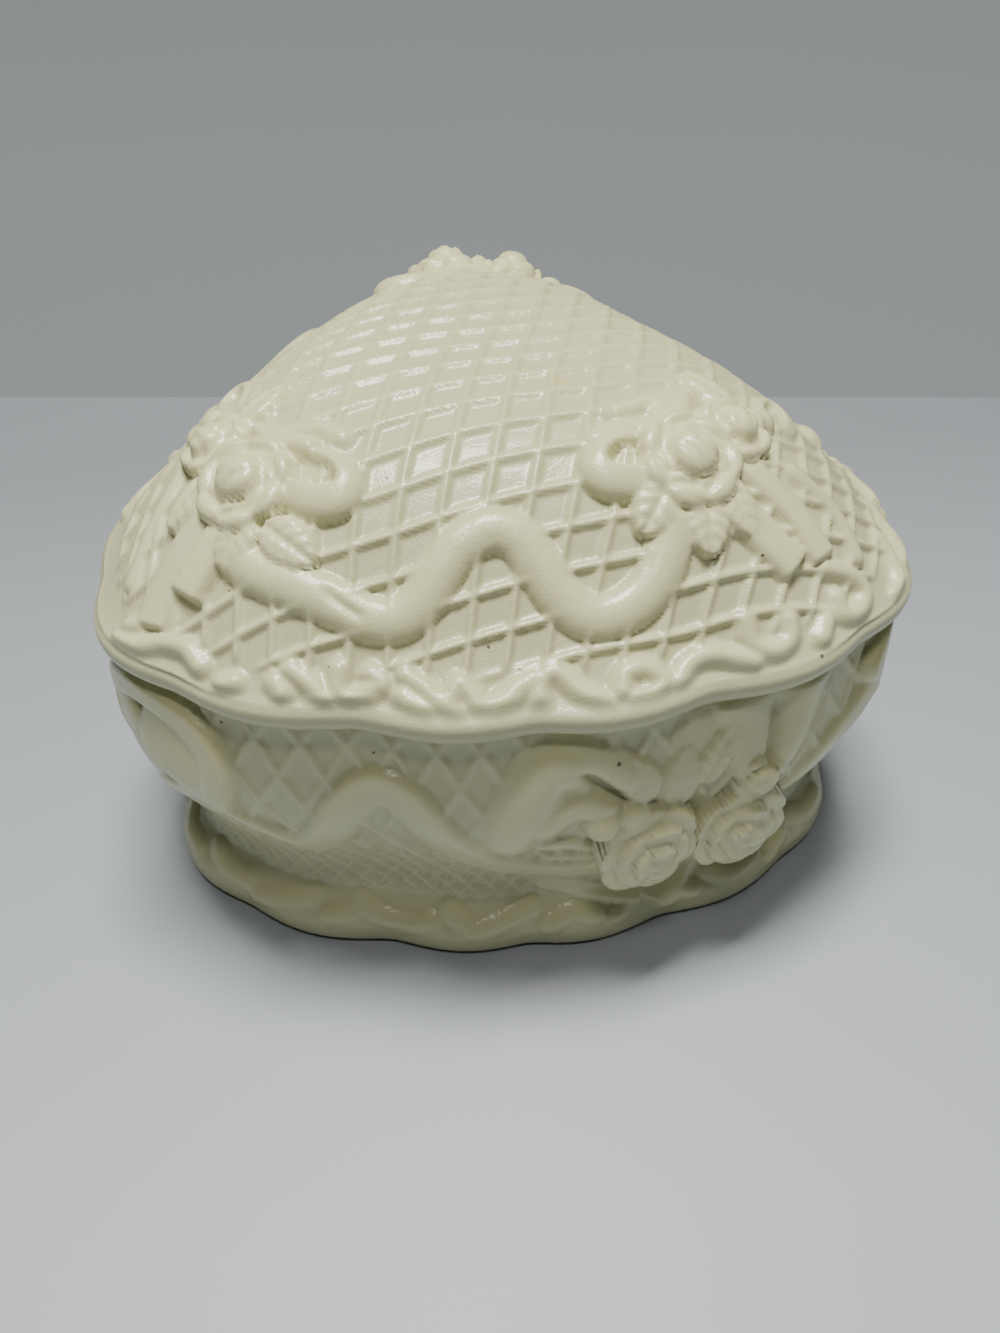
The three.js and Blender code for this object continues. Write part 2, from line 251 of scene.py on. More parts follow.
class Relief:
    # how far the glaze stands out of the plain surface at every carved point
    def __init__(self, skin, surface, ground, reaches):
        self.index = np.nonzero(skin.carved)[0]
        self.points = skin.points[self.index]
        self.outs = skin.outs[self.index]
        self.surface = surface
        self.height = ground.copy()
        self.reaches = reaches
        self.turn = 0    # degrees by which the next forms are moved round

    # the points within reach of a spot that face the same way
    def near(self, middle, out, reach):
        away = self.points - middle
        return np.nonzero((np.einsum("ij,ij->i", away, away) < reach * reach) & (self.outs @ out > 0.1))[0]

    def lay(self, chosen, height, blend):
        self.height[chosen] = softMax(self.height[chosen], height, blend)

    # a form drawn in the flat coordinates of one spot, u to the right and v up the wall
    def stamp(self, kind, angle, place, shape, blend=softJoin):
        spot = surfaceFrame(self.surface, np.radians([angle + self.turn]), [place])
        middle, out, along, up = (x[0] for x in spot)
        chosen = self.near(middle, out, self.reaches[kind])
        away = self.points[chosen] - middle
        self.lay(chosen, shape(away @ along, away @ up), blend)

    # how far each point near a line through places lies from it, how far along it, and on which side
    def follow(self, places, reach, openEnds=False):
        curveSteps = 10
        overrun = 9.0    # steps that an open line runs on past its ends
        fine = curveThrough(np.array(places, float) + (self.turn, 0), curveSteps)
        line = self.surface(np.radians(fine[:, 0]), fine[:, 1])
        lengths = np.concatenate([[0], np.cumsum(np.linalg.norm(np.diff(line, axis=0), axis=1))])
        low, high = line.min(0) - reach, line.max(0) + reach
        chosen = np.nonzero(np.all((self.points > low) & (self.points < high), axis=1))[0]
        p, outs = self.points[chosen], self.outs[chosen]
        best, run, side = np.full(len(p), 1e9), np.zeros(len(p)), np.zeros(len(p))
        for k in range(len(line) - 1):
            a, d = line[k], line[k + 1] - line[k]
            first = -overrun if openEnds and k == 0 else 0.0
            last = overrun if openEnds and k == len(line) - 2 else 1.0
            t = np.clip((p - a) @ d / max(d @ d, 1e-9), first, last)
            offset = p - a - t[:, None] * d
            distance = np.linalg.norm(offset, axis=1)
            closer = distance < best
            best[closer] = distance[closer]
            run[closer] = lengths[k] + t[closer] * np.linalg.norm(d)
            side[closer] = np.sign(np.einsum("ij,ij->i", offset[closer], np.cross(outs[closer], d)))
        return chosen, best, run, side, lengths[-1]

    # a ribbon through places; widen and lift act towards its end, edge tips it to one side,
    # and a cut one ends square
    def band(self, places, width, relief, profile, widen=0.0, lift=0.0, cut=False, blend=softJoin, edge=0.0):
        chosen, away, run, side, total = self.follow(places, width * 1.2, cut)
        share = np.clip(run / total, 0, 1)
        d = away / (width / 2 * (1 + widen * share))
        if profile == "flat":    # a little lower along its middle
            body = np.clip(1 - d ** 4, 0, 1) * (0.86 + 0.14 * np.clip(d, 0, 1) ** 2)
        else:
            body = np.clip(1 - d ** 2, 0, 1) ** fullness[profile]
        height = relief * (1 + lift * share ** 2) * body * (1 + edge * np.clip(d, 0, 1) * side)
        if cut:
            height = height * smooth(total - run, -0.8, 0.35)
        self.lay(chosen, np.where(d < 1.0, height, below), blend)

    # a fold line pressed into whatever is there already, fading out at both ends
    def crease(self, places, width, depth):
        chosen, away, run, _, total = self.follow(places, width * 3)
        fade = smooth(run / total, 0, 0.3) * (1 - smooth(run / total, 0.7, 1))
        self.height[chosen] -= depth * fade * np.exp(-(away / width) ** 2)


# a smooth curve through the points, the same number of steps between each two
def curveThrough(points, steps):
    padded = np.vstack([2 * points[0] - points[1], points, 2 * points[-1] - points[-2]])
    made = []
    for k in range(len(points) - 1):
        a, b, c, d = padded[k:k + 4]
        for i in range(steps):
            t = i / steps
            made.append(0.5 * (2 * b + (c - a) * t + (2 * a - 5 * b + 4 * c - d) * t * t
                               + (3 * b - a - 3 * c + d) * t ** 3))
    made.append(points[-1])
    return np.array(made)


# an open rose: rings of cupped petals, each ring standing over the one outside it
# lean is how many mm its middle stands out to turn its face upwards
def roseShape(radius, relief, spin, lean):
    # of each ring: petals, how far out their middles lie, their size and their height
    petalRings = ((6, 0.62, 0.46, 0.2), (5, 0.39, 0.38, 0.44), (3, 0.17, 0.29, 0.68))
    ringTurn = 38
    heartSize = 0.15
    join = 0.03

    def shape(u, v):
        x, y = u / radius, v / radius
        r = np.hypot(x, y)
        height = np.where(r < 0.88, 0.12, -1.0)
        for ring, (count, reach, size, foot) in enumerate(petalRings):
            for k in range(count):
                a = math.radians(spin + 360 * k / count + ringTurn * ring)
                wide = 1.2 if k % 2 else 1.04
                outwards = (x * math.cos(a) + y * math.sin(a) - reach) / (size * 0.8)
                across = (-x * math.sin(a) + y * math.cos(a)) / (size * wide)
                d = np.hypot(outwards, across)
                petal = foot + 0.2 * outwards + 0.1 * across + 0.17 * np.sqrt(np.clip(1 - d ** 2, 0, 1))
                height = softMax(height, np.where(d < 1, petal, -1.0), join)
        heart = 0.6 + 0.36 * np.sqrt(np.clip(1 - (r / heartSize) ** 2, 0, 1))
        height = softMax(height, np.where(r < heartSize, heart, -1.0), join)
        body = relief * height + lean * (0.95 - y)
        return np.where(height > 0, body, below)
    return shape


# a tight bud on a ring of curled petals, as the roses on the lid are
def budShape(radius, relief, spin, petals=6, bud=0.5):
    turn = math.radians(spin)
    wraps = ((0.28, 0.5), (-0.34, -0.35))    # the edges of the petals wrapped round the bud

    def shape(u, v):
        x, y = u / radius, v / radius
        r = np.hypot(x, y)
        height = np.where(r < 0.86, relief * 0.22, below)
        for k in range(petals):
            a = turn + 2 * math.pi * k / petals
            reach, size = (0.66, 0.36) if k % 2 else (0.6, 0.42)
            outwards = (x * math.cos(a) + y * math.sin(a) - reach) / (size * 0.92)
            across = (-x * math.sin(a) + y * math.cos(a)) / (size * 1.12)
            d = np.hypot(outwards, across)
            petal = 0.3 + 0.34 * np.sqrt(np.clip(1 - d ** 2, 0, 1)) + 0.1 * outwards
            groove = 0.16 * np.exp(-((outwards + 0.25 * across) / 0.2) ** 2)
            petal = petal - groove * (1 - smooth(d, 0.5, 0.9))
            height = softMax(height, np.where(d < 1, relief * petal, below), 0.03 * relief)
        knob = 0.56 + 0.46 * np.sqrt(np.clip(1 - (r / bud) ** 2, 0, 1))
        run = (x * math.cos(turn) + y * math.sin(turn)) / bud
        off = (-x * math.sin(turn) + y * math.cos(turn)) / bud
        for shift, bow in wraps:
            groove = 0.13 * np.exp(-((off - shift - bow * run ** 2) / 0.12) ** 2)
            knob = knob - groove * smooth(run, -0.9, 0.1)
        return softMax(height, np.where(r < bud, relief * knob, below), 0.08 * relief)
    return shape


def ballShape(radius, relief):
    def shape(u, v):
        r = np.hypot(u, v) / radius
        return np.where(r < 1, relief * np.sqrt(np.clip(1 - r ** 2, 0, 1)), below)
    return shape


# a veined leaf with a notched edge, its stem behind the spot and its tip ahead
def leafShape(heading, length, width, relief, depth=1.0):
    c, s = math.cos(math.radians(heading)), math.sin(math.radians(heading))
    veins = 5

    def shape(u, v):
        x = (u * c + v * s) / length + 0.5
        y = (-u * s + v * c) / (width / 2)
        inside = np.clip(x, 0.001, 0.999)
        notch = 0.05 * depth * np.abs(((inside * (veins + 1)) % 1) - 0.5)
        half = np.sin(math.pi * inside ** 0.8) ** 0.5 * (0.97 + notch)
        d = np.abs(y) / np.maximum(half, 0.05)
        body = relief * (0.82 + 0.18 * np.sin(math.pi * inside)) * (1 - 0.22 * d ** 2)
        body = body - relief * 0.26 * depth * np.exp(-(y / 0.12) ** 2)
        beat = (veins * (inside - 0.24 * d)) % 1 - 0.5
        body = body - relief * 0.13 * depth * np.exp(-(beat / 0.14) ** 2) * smooth(d, 0.05, 0.25)
        body = body - relief * 0.6 * smooth(d, 0.7, 1.02)
        return np.where((x > 0) & (x < 1) & (d < 1.02), body, below)
    return shape


# a bow's loop: a fat band round a sunk hole, highest at its far end
# hole gives its middle and its half length and width, in shares of the loop's
def loopShape(heading, length, width, relief, hole=(-0.24, 0.2, 0.64, 0.42), floor=0.0):
    c, s = math.cos(math.radians(heading)), math.sin(math.radians(heading))
    holeX, holeY, holeLong, holeWide = hole

    def shape(u, v):
        x = (u * c + v * s) / (length / 2)
        y = (-u * s + v * c) / (width / 2)
        r = np.hypot(x, y)
        body = relief * (0.84 + 0.2 * x) * np.clip(1 - r ** 3.2, 0, 1) ** 0.55
        h = np.hypot((x - holeX) / holeLong, (y - holeY) / holeWide)
        share = 1 - smooth(h, 0.62, 1.1)
        body = body * (1 - share) + relief * floor * share
        return np.where(r < 1, body, below)
    return shape


# a broad flat loop of ribbon seen from its side, rounded at the corners
def bowShape(heading, length, width, relief):
    c, s = math.cos(math.radians(heading)), math.sin(math.radians(heading))

    def shape(u, v):
        x = (u * c + v * s) / (length / 2)
        y = (-u * s + v * c) / (width / 2)
        r = (np.abs(x) ** 3 + np.abs(y) ** 3) ** (1 / 3)
        body = relief * (0.8 + 0.1 * x - 0.2 * y) * np.clip(1 - r ** 6, 0, 1) ** 0.6
        return np.where(r < 1, body, below)
    return shape


# one family of parallel ribs over flat coordinates, wavering a little as if drawn by hand
def ribs(x, y, family):
    shortWave, longWave, sideWave = 5.4, 17, 11
    a = math.radians(family["heading"])
    across = -x * math.sin(a) + y * math.cos(a)
    run = x * math.cos(a) + y * math.sin(a)
    waver = family["waver"]
    slow = waver * 1.4 * np.sin(run / longWave + across / sideWave)
    across = across + waver * np.sin(run / shortWave) + slow
    d = np.abs((across / family["gap"] + 0.5) % 1 - 0.5) * family["gap"]
    return family["relief"] * np.exp(-(d / (family["width"] / 2)) ** 2.2)


lidCarving = {
    "rows": {"heading": 10, "gap": 5.35, "width": 1.2, "relief": 0.85, "waver": 0.25, "shift": 2.0},
    "columns": {"heading": 75, "gap": 5.6, "width": 1.2, "relief": 0.8, "waver": 0.15, "shift": 0.9},
    "crossing": 0.12,
    "trellisEnd": (0.9, 0.93),
    "swag": {"width": 6.3, "relief": 1.9, "blend": 1.1},
    "border": {"width": 3.8, "relief": 1.4, "blend": 0.8},
    "tail": {"width": 5.8, "relief": 1.15},
    "reach": {"leaf": 9, "loop": 9, "bud": 8, "berry": 8, "rose": 10},    # mm that each may cover
    "fadeOut": (0.962, 0.99),
}

# the strokes of the front border: angle in degrees and share of the dome
frontBorder = [
    [(212.6, 0.97), (216.0, 0.955), (218.8, 0.93), (222.0, 0.925), (225.2, 0.945)],
    [(213.0, 0.935), (214.0, 0.925)],
    [(229.2, 0.962), (230.4, 0.952)],
    [(235.2, 0.938), (236.6, 0.956)],
    [(236.5, 0.914), (239.6, 0.938), (242.0, 0.968)],
    [(242.4, 0.912), (243.2, 0.948), (245.0, 0.964), (247.0, 0.956)],
    [(246.8, 0.920), (248.6, 0.934), (247.2, 0.942)],
    [(251.6, 0.916), (255.0, 0.938), (258.8, 0.975)],
    [(251.8, 0.950), (255.0, 0.974)],
    [(258.0, 0.948), (259.2, 0.926), (261.0, 0.944), (262.4, 0.964), (265.0, 0.960), (267.4, 0.938)],
    [(264.6, 0.978), (267.2, 0.952), (269.4, 0.930)],
    [(270.2, 0.974), (270.6, 0.938), (273.0, 0.920), (275.8, 0.948), (279.0, 0.976)],
    [(281.6, 0.955), (282.8, 0.930), (285.8, 0.928), (287.6, 0.952), (286.2, 0.974), (283.2, 0.976)],
    [(289.6, 0.966), (292.0, 0.940), (296.0, 0.930), (300.6, 0.952)],
    [(302.2, 0.882), (301.6, 0.922), (303.8, 0.942), (306.6, 0.930), (308.0, 0.898)],
    [(311.0, 0.950), (313.4, 0.925)],
    [(317.5, 0.850), (321.0, 0.885), (321.6, 0.925), (318.6, 0.950), (316.2, 0.935), (317.0, 0.905)],
]
# the strokes that the other sides repeat, each drawn from its own middle
sideStrokes = {
    "comma": [(-2.6, -0.046), (-0.8, -0.012), (1.6, 0.02), (4.0, 0.036)],
    "short": [(-1.2, -0.02), (0.8, 0.012)],
    "arch": [(-3.2, 0.036), (-2.4, -0.012), (0.2, -0.03), (2.6, 0.0), (4.8, 0.034)],
    "ess": [(-4.4, 0.0), (-3.0, -0.03), (-1.0, 0.0), (0.8, 0.026), (3.0, 0.016), (4.8, -0.012)],
}
sideBorder = {
    "order": [("comma", 0.0, 0.945), ("short", 4.6, 0.965), ("arch", 10.4, 0.945), ("ess", 19.0, 0.945)],
    "start": 330, "step": 24, "repeats": 9,
    "end": 567,    # as far round as the front border's first stroke
}


def sideBorderStrokes():
    made = []
    for k in range(sideBorder["repeats"]):
        lean = 1 if k % 2 else -1
        for kind, offset, place in sideBorder["order"]:
            middle = sideBorder["start"] + sideBorder["step"] * k + offset
            if middle < sideBorder["end"]:
                made.append([(middle + lean * a, place + p) for a, p in sideStrokes[kind]])
    return made


# the left-hand cluster: bow loops, two roses, leaves and two ribbon tails; proud raises its roses
def carveLidCluster(relief, proud=1.0):
    tail = lidCarving["tail"]
    relief.band([(197, 0.72), (203, 0.80), (208.4, 0.885)], 3.4, 1.2, "round")
    relief.band([(212, 0.70), (213.4, 0.80), (214.6, 0.862), (216, 0.915)],
                tail["width"], tail["relief"], "flat", widen=0.15, lift=0.5, cut=True, edge=0.12)
    relief.band([(217.5, 0.70), (217.9, 0.76), (218.6, 0.845)],
                tail["width"] * 0.92, tail["relief"] * 1.5, "flat",
                widen=0.1, lift=0.35, cut=True, edge=-0.12)
    relief.band([(203, 0.60), (211, 0.55), (218, 0.50), (225, 0.50)], 4.4, 1.4, "soft")
    relief.band([(207, 0.57), (214, 0.56), (221, 0.545)], 4.0, 2.1, "soft")
    relief.stamp("leaf", 198, 0.55, leafShape(118, 9.5, 6.2, 1.9))
    relief.stamp("leaf", 208.4, 0.735, leafShape(-76, 8.8, 5.6, 2.1))
    relief.stamp("loop", 228.0, 0.607, loopShape(-12, 13.4, 10.6, 2.9))
    relief.stamp("loop", 182, 0.65, loopShape(190, 10.0, 8.6, 1.9, hole=(-0.24, -0.2, 0.6, 0.4)))
    relief.stamp("leaf", 187, 0.71, leafShape(205, 9.0, 6.2, 1.8))
    relief.stamp("leaf", 229.6, 0.722, leafShape(-24, 8.8, 7.2, 2.3), 0.3)
    relief.stamp("leaf", 221.4, 0.742, leafShape(-96, 8.2, 7.0, 2.2), 0.3)
    relief.stamp("bud", 200.5, 0.652, budShape(5.5, 4.0 * proud, 20), 0.2)
    relief.stamp("berry", 190, 0.665, ballShape(2.6, 2.4))
    relief.stamp("rose", 215.6, 0.652, budShape(7.2, 4.6 * proud, 250, 7, bud=0.45), 0.2)


def carveRightCluster(relief):
    tail = lidCarving["tail"]
    relief.band([(310.4, 0.70), (311.6, 0.77), (313.0, 0.825)],
                tail["width"], tail["relief"] * 1.4, "flat", widen=0.1, lift=0.4, cut=True, edge=0.12)
    relief.band([(318.6, 0.68), (319.2, 0.76), (318.4, 0.835)],
                tail["width"] * 0.9, tail["relief"] * 1.3, "flat", widen=0.1, lift=0.4, cut=True, edge=-0.12)
    relief.band([(326, 0.70), (327, 0.79), (324.5, 0.87)], 3.4, 1.2, "round")
    relief.band([(292, 0.495), (300, 0.485), (310, 0.50), (318, 0.52)], 4.8, 1.5, "soft")
    relief.band([(303, 0.43), (314, 0.435), (326, 0.47)], 4.6, 1.7, "soft")
    relief.stamp("leaf", 318, 0.465, leafShape(20, 10.5, 6.4, 1.8))
    relief.stamp("leaf", 332, 0.50, leafShape(70, 10, 6.2, 1.8))
    relief.stamp("loop", 295, 0.572, loopShape(188, 13.2, 10.4, 2.9, hole=(-0.24, -0.2, 0.64, 0.42)))
    relief.stamp("loop", 341, 0.66, loopShape(-10, 10, 8.6, 1.7))
    relief.stamp("leaf", 296.4, 0.668, leafShape(-128, 9.2, 7.4, 2.3), 0.3)
    relief.stamp("leaf", 303.4, 0.716, leafShape(-100, 8.6, 7.2, 2.1), 0.3)
    relief.stamp("leaf", 310.0, 0.70, leafShape(-86, 8.8, 6.4, 2.0), 0.3)
    relief.stamp("bud", 323, 0.58, budShape(5.5, 4.0, 50), 0.2)
    relief.stamp("berry", 332, 0.61, ballShape(2.6, 2.4))
    relief.stamp("rose", 308, 0.592, budShape(7.3, 4.6, 285, 7, bud=0.45), 0.2)


frontSwag = [(223, 0.765), (227.5, 0.776), (232.4, 0.785), (238.7, 0.805), (245.2, 0.832), (249.4, 0.829),
             (252.3, 0.80), (254.5, 0.755), (257.6, 0.711), (262.9, 0.685), (268.4, 0.70), (272.2, 0.751),
             (275.2, 0.804), (279.8, 0.841), (285.8, 0.833), (291.3, 0.80), (295.1, 0.754), (298.4, 0.70)]
# a side swag from its end to its middle: degrees from the middle and share of the dome
sideSwagHalf = [(33, 0.74), (26, 0.79), (19, 0.83), (13, 0.825), (8.5, 0.76), (4.5, 0.705)]
sideSwagTop = 0.69
sideSwags = ((142, 0.02), (382, 0.05))    # the middle of each, and how much lower it hangs


def sideSwag(middle, lower):
    left = [(middle - a, s) for a, s in sideSwagHalf]
    right = [(middle + a, s) for a, s in sideSwagHalf[::-1]]
    return [(a, s + lower) for a, s in left + [(middle, sideSwagTop)] + right]


def lidGap(share):
    m = lidMesh
    wider = m["crownGap"] if share < m["crown"] else 1.0 if share < m["border"] else m["borderGap"]
    return m["gap"] * wider


def laySkinOfLid():
    print("laying the lid's skin")
    s, m = lidShape, lidMesh
    skin = Skin()
    skin.add(lidPoint(np.zeros(1), np.zeros(1)), np.array([[0.0, 0.0, 1.0]]), np.zeros(1), np.zeros(1))
    count = ringStep
    for share in placesAlong(lidPoint, 0.0, m["last"], lidGap)[1:]:
        wanted = ringCount(s["rim"] * share, lidGap(share) * m["snug"])
        if wanted > count * m["growth"] or share > m["settled"] and wanted > count:
            count = wanted
        angles = ringAngles(count)
        point, out = surfaceFrame(lidPoint, angles, np.full(count, share))[:2]
        skin.add(point, out, angles, np.full(count, share))
    # round the rim, each ring so far in from it and so far down
    rounding = [(0.75, -0.02), (0.3, -0.35), (0.05, -0.95), (0.0, -1.7), (0.1, -2.5), (0.5, -3.15),
                (1.3, -3.6)]
    edgeCount = ringCount(s["rim"], m["gap"] * m["edgeGap"])
    for inset, drop in rounding:
        skin.add(levelRing(edgeCount, s["rim"] - inset, domeFoot + drop, s["scallop"]))
    # the flat under it, the lip, and the hollow up to the ceiling
    lipOut = bowlShape["mouth"] - bowlShape["wall"] - s["lipPlay"]
    lipIn = lipOut - s["lipThick"]
    lipEnd = lidUnder - s["lipDepth"]
    bevel = s["lipBevel"]
    profile = [(lipOut + s["ledge"], lidUnder), (lipOut, lidUnder), (lipOut, lipEnd + bevel),
               (lipOut - bevel, lipEnd), (lipIn + bevel, lipEnd), (lipIn, lipEnd + bevel), (lipIn, lidUnder)]
    for mean, height in profile:
        skin.add(levelRing(plainCount, mean, height))
    angles = ringAngles(plainCount)
    for share in np.linspace(m["ceilingFrom"], m["ceilingTo"], m["ceilingRings"]):
        point, out = surfaceFrame(lidPoint, angles, np.full(plainCount, share))[:2]
        skin.add(point - s["wall"] * out)
    skin.add(np.array([[0.0, 0.0, domeFoot + s["rise"] - s["wall"]]]))
    skin.close()
    return skin


# trellis over arc length from the crown, so that its cells stay even down the skirt
def carveLidTrellis(skin):
    print("carving the lid's trellis")
    steps = 400
    angle, share = skin.angles[skin.carved], skin.places[skin.carved]
    shares = np.linspace(0, 1, steps)
    line = lidPoint(np.full(steps, frontAngle), shares)
    arcs = np.concatenate([[0], np.cumsum(np.linalg.norm(np.diff(line, axis=0), axis=1))])
    level = np.interp(share, shares, np.hypot(line[:, 0], line[:, 1]))
    longer = np.interp(share, shares, arcs) / np.maximum(level, 1e-6)
    away = np.hypot(*skin.points[skin.carved][:, :2].T)
    arc = np.where(share < 0.01, away, away * longer)
    x, y = arc * np.cos(angle), arc * np.sin(angle)
    rows, columns = lidCarving["rows"], lidCarving["columns"]
    ground = softMax(ribs(x, y + rows["shift"], rows), ribs(x + columns["shift"], y, columns),
                     lidCarving["crossing"])
    return ground * (1 - smooth(share, *lidCarving["trellisEnd"]))


def buildLid():
    skin = laySkinOfLid()
    relief = Relief(skin, lidPoint, carveLidTrellis(skin), lidCarving["reach"])
    print("carving the lid's border, swags and clusters")
    border, swag = lidCarving["border"], lidCarving["swag"]
    for stroke in frontBorder + sideBorderStrokes():
        relief.band(stroke, border["width"], border["relief"], "soft", blend=border["blend"])
    relief.band(frontSwag, swag["width"], swag["relief"], "round", blend=swag["blend"])
    relief.crease([(236.6, 0.775), (238.8, 0.797), (242.0, 0.818), (245.0, 0.835)], 0.6, 0.6)
    for middle, lower in sideSwags:
        relief.band(sideSwag(middle, lower), swag["width"], swag["relief"], "round", blend=swag["blend"])
    carveLidCluster(relief)
    relief.turn = -120
    carveLidCluster(relief, proud=1.35)
    relief.turn = 0
    carveRightCluster(relief)
    return finishPiece("lid_glazed", "lid", skin, relief)


bowlCarving = {
    "upper": {"headings": (62, -58), "gap": 5.6, "width": 1.4, "relief": 0.45, "crossing": 0.12},
    "waist": {"headings": (57, -55), "gap": 3.3, "width": 1.2, "relief": 0.6, "crossing": 0.1},
    "change": (25, 27),        # heights where the small trellis gives way to the large
    "trellisStart": (9.5, 11.5),
    "ribbon": {"width": 7.4, "relief": 1.45},
    "footStroke": {"width": 3.8, "relief": 0.6},
    "reach": {"loop": 9, "bow": 14, "leaf": 8, "rose": 13, "bud": 6, "berry": 5},    # mm that each may cover
    "fadeIn": (3.4, 4.6),
    "fadeOut": (48.8, 50.0),
}

# the low, soft strokes on the foot: angle in degrees and height in mm
footStrokes = [
    [(214, 8.0), (217.4, 6.6), (221.6, 6.4)],
    [(224.0, 5.0), (228.0, 6.4), (233.0, 8.0)],
    [(236.6, 5.8), (239.0, 6.6)],
    [(240.6, 8.2), (244.6, 6.2), (249.4, 5.6), (253.0, 6.6)],
    [(256.0, 8.2), (258.4, 7.0)],
    [(260.6, 5.2), (265.0, 6.4), (270.6, 8.0)],
    [(273.4, 5.4), (277.6, 7.0), (281.4, 6.2)],
    [(285.6, 5.4), (287.0, 6.4)],
    [(290.6, 7.8), (294.6, 6.2), (299.4, 5.6)],
    [(303.0, 8.0), (306.6, 6.2), (311.4, 6.6)],
    [(315.0, 5.4), (318.6, 6.8)],
    [(321.6, 8.2), (325.4, 6.4), (330.6, 6.0)],
]
wallRibbon = [(214, 27), (218.7, 30), (223.5, 29.6), (230.2, 26.6), (235.2, 24.5), (240.0, 29.6),
              (243.5, 36.5), (247.0, 40.2), (251.2, 39.2), (255.4, 33.2), (260.6, 25.4), (267.6, 19.4),
              (275.2, 17.0), (283, 16)]
# the small buds over the roses: angle, height, radius and how far they stand out
berries = ((279.6, 33.2, 2.9, 3.0), (284.0, 34.2, 2.6, 2.6), (291.0, 30.6, 2.2, 3.2))


# one ribbon and its pair of roses; the wall carries it three times
def carveBowlThird(relief):
    ribbon, stroke = bowlCarving["ribbon"], bowlCarving["footStroke"]
    for places in footStrokes:
        relief.band(places, stroke["width"], stroke["relief"], "soft", blend=0.8)
    # the ribbon, broad and soft, its lower edge the higher one
    relief.band(wallRibbon, ribbon["width"], ribbon["relief"], "flat", edge=0.4, blend=0.5)
    # bow on the left end, and the tail under it
    relief.stamp("loop", 208, 40, loopShape(160, 12, 10, 2.0, floor=0.3), 0.5)
    relief.band([(212, 34), (217, 27), (220, 22), (222, 17.5)], 7.4, 1.1, "flat", widen=0.2, cut=True)
    relief.stamp("bow", 220.0, 39.4, bowShape(-22, 18, 14.5, 1.9), 0.3)
    relief.band([(205, 42.5), (211.5, 46.2), (218.5, 46.4), (224.0, 43.0), (226.2, 38.4), (225.4, 33.8)],
                6.4, 2.6, "flat", edge=0.15, blend=0.3)
    # folds and the loop beside the roses
    relief.band([(266.5, 31), (268.4, 38), (271.4, 43.4), (275.0, 44.4)], 10.5, 2.3, "soft", blend=0.8)
    relief.band([(274, 45), (279, 44), (283, 41)], 7.0, 1.5, "soft", blend=0.8)
    relief.band([(271, 33), (275.5, 37), (279.5, 36)], 6.4, 1.7, "soft", blend=0.6)
    relief.crease([(275.0, 44.6), (277.4, 42.2), (281.0, 38.6), (284.4, 36.4)], 0.75, 1.5)
    relief.band([(271, 28.5), (276, 28), (281, 25)], 3.4, 1.3, "round")
    relief.band([(273, 23.5), (278.5, 22.5), (283, 20)], 3.0, 1.3, "round")
    # leaves above them, on ground a little raised under their tips
    relief.stamp("leaf", 294.4, 44.6, ballShape(4.6, 0.8), 0.6)
    relief.stamp("leaf", 285.0, 40.2, leafShape(112, 8.8, 6.6, 1.25, depth=0.7), 0.4)
    relief.stamp("leaf", 291.6, 38.4, leafShape(86, 11.0, 7.2, 1.15, depth=0.6), 0.4)
    relief.stamp("leaf", 297.0, 41.2, leafShape(66, 10.6, 6.0, 1.6), 0.3)
    # tails under the roses
    relief.band([(277, 11.5), (281.5, 10.0), (290.4, 7.4)], 4.6, 1.2, "flat", cut=True)
    relief.band([(300, 12), (296, 8.8), (292.2, 5.6)], 8.4, 1.1, "flat", widen=0.1, cut=True, edge=0.1)
    # ribbon folds on the right
    relief.band([(302.6, 33), (301.8, 41), (300.6, 49)], 4.8, 1.2, "flat", widen=1.1, edge=0.35)
    relief.band([(304.8, 33), (308.4, 41), (311.4, 49)], 5.2, 1.6, "soft", widen=1.3)
    relief.crease([(306.8, 48.6), (306.0, 44), (304.8, 39), (304.0, 35.0)], 0.6, 1.0)
    relief.band([(311, 28), (316, 33), (322, 37), (330, 40)], 6.0, 1.5, "flat", widen=0.2)
    # the roses, turned a little upwards, and the buds over them
    relief.stamp("rose", 287.2, 27.2, roseShape(7.9, 4.2, 100, 2.7), 0.3)
    relief.stamp("rose", 302.2, 26.0, roseShape(7.8, 4.2, 30, 2.7), 0.3)
    relief.stamp("bud", 303.4, 34.8, budShape(4.2, 3.0, 200, petals=4, bud=0.6))
    for angle, height, radius, proud in berries:
        relief.stamp("berry", angle, height, ballShape(radius, proud))


def bowlGap(height):
    m = bowlMesh
    return m["gap"] * (m["shadeGap"] if height > m["shade"] else 1.0 if height > m["foot"] else m["footGap"])


